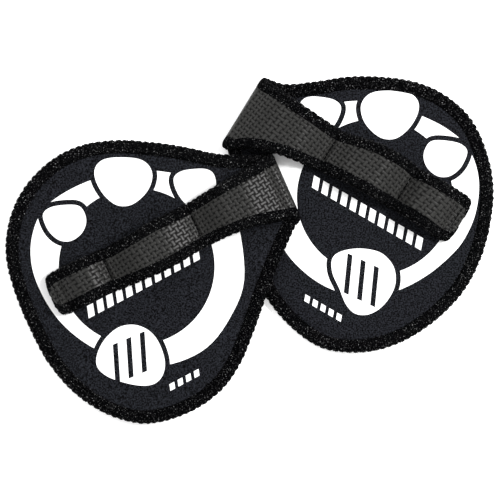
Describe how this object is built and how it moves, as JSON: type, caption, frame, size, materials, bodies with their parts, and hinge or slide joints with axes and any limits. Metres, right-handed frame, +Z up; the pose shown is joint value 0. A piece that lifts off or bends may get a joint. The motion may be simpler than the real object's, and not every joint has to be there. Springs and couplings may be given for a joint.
{
  "type": "gym hand grips",
  "caption": "Pair of oval neoprene palm pads with stitched edges, printed faces and folded straps sewn into finger loops.",
  "frame": {"origin": "on the surface that the pair lies on, under the middle of its bounding box", "axes": "+Z up out of the printed faces; +X from the left grip towards the right grip; +Y towards the finger ends of both grips"},
  "size_m": [0.2345, 0.1666, 0.019],
  "materials": {
    "palm_jersey": "matte knitted jersey with a fine grain",
    "neoprene_foam": "matte closed-cell foam",
    "grip_rubber": "embossed basket weave, low sheen",
    "edge_thread": "textured polyester overlock thread",
    "print_ink": "opaque white screen print, matte"
  },
  "bodies": {
    "right_grip": {"right_rubber_back": "grip_rubber", "right_foam_core": "neoprene_foam", "right_palm_jersey": "palm_jersey", "right_edge_overlock": "edge_thread", "right_ring_print": "print_ink", "right_finger_spots": "print_ink", "right_heel_spot": "print_ink", "right_bar_print": "print_ink", "right_hand_ticks": "print_ink", "right_loop_seams": "edge_thread", "right_end_seam": "edge_thread"},
    "right_strap": {"right_strap_rubber": "grip_rubber", "right_strap_foam": "neoprene_foam", "right_strap_lining": "palm_jersey", "right_strap_overlock_upper": "edge_thread", "right_strap_overlock_lower": "edge_thread"},
    "left_grip": {"left_rubber_back": "grip_rubber", "left_foam_core": "neoprene_foam", "left_palm_jersey": "palm_jersey", "left_edge_overlock": "edge_thread", "left_ring_print": "print_ink", "left_finger_spots": "print_ink", "left_heel_spot": "print_ink", "left_bar_print": "print_ink", "left_hand_ticks": "print_ink", "left_loop_seams": "edge_thread", "left_end_seam": "edge_thread"},
    "left_strap": {"left_strap_rubber": "grip_rubber", "left_strap_foam": "neoprene_foam", "left_strap_lining": "palm_jersey", "left_strap_overlock_upper": "edge_thread", "left_strap_overlock_lower": "edge_thread"}
  },
  "joints": [
    {"name": "right_strap_lift", "type": "slide", "parent": "right_grip", "child": "right_strap", "axis": [0, 0, 1], "range_m": [0, 0.01], "stiffness_N_per_m": 150},
    {"name": "left_grip_lift", "type": "slide", "parent": "right_grip", "child": "left_grip", "axis": [0, 0, 1], "range_m": [0, 0.06]},
    {"name": "left_strap_lift", "type": "slide", "parent": "left_grip", "child": "left_strap", "axis": [-0.0419, 0, 0.9991], "range_m": [0, 0.01], "stiffness_N_per_m": 150}
  ]
}
